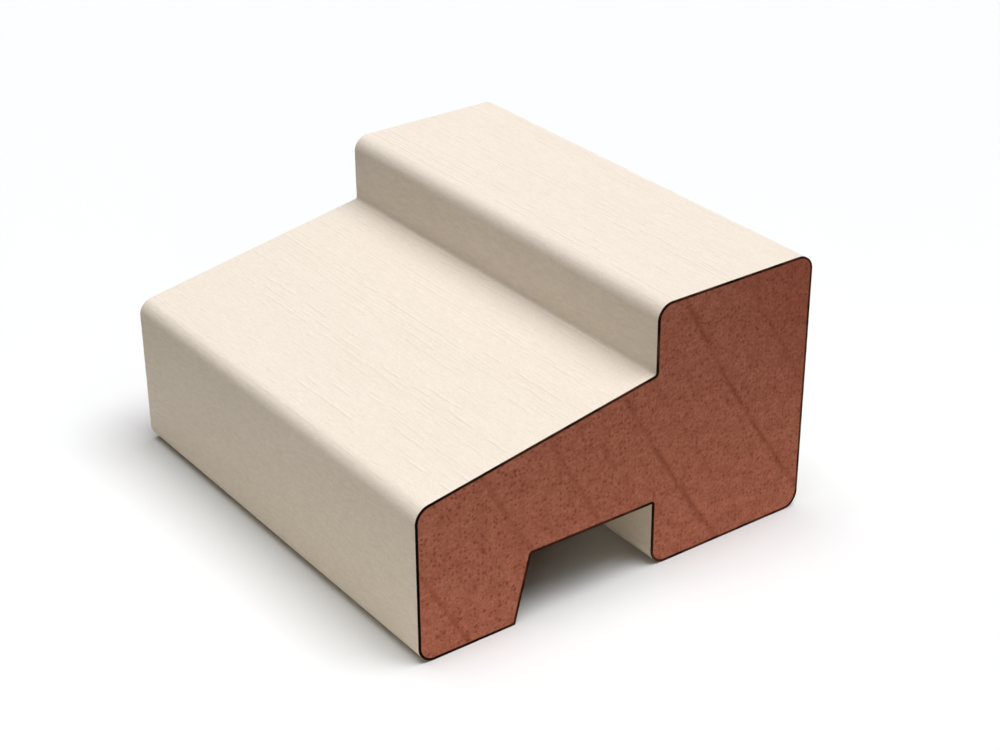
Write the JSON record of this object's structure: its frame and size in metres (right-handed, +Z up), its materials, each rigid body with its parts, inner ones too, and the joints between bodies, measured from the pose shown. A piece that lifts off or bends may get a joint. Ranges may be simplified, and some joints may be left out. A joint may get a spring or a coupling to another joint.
{
  "type": "frame sill profile",
  "caption": "Length of primed hardwood window-frame sill stock, with a weathered slope, a rebate and an upstand on top and a groove between its feet underneath.",
  "frame": {"origin": "middle of the footprint, on the surface that the sill stands on", "axes": "+X along the stick, +Y from the weather side (nose) to the room side (back), +Z up"},
  "size_m": [0.122, 0.11, 0.067],
  "materials": {
    "primed_timber": "satin cream primer on the planed faces, bare red-brown end grain on the sawn ends"
  },
  "bodies": {
    "root": {"sill_profile": "primed_timber"}
  },
  "joints": []
}
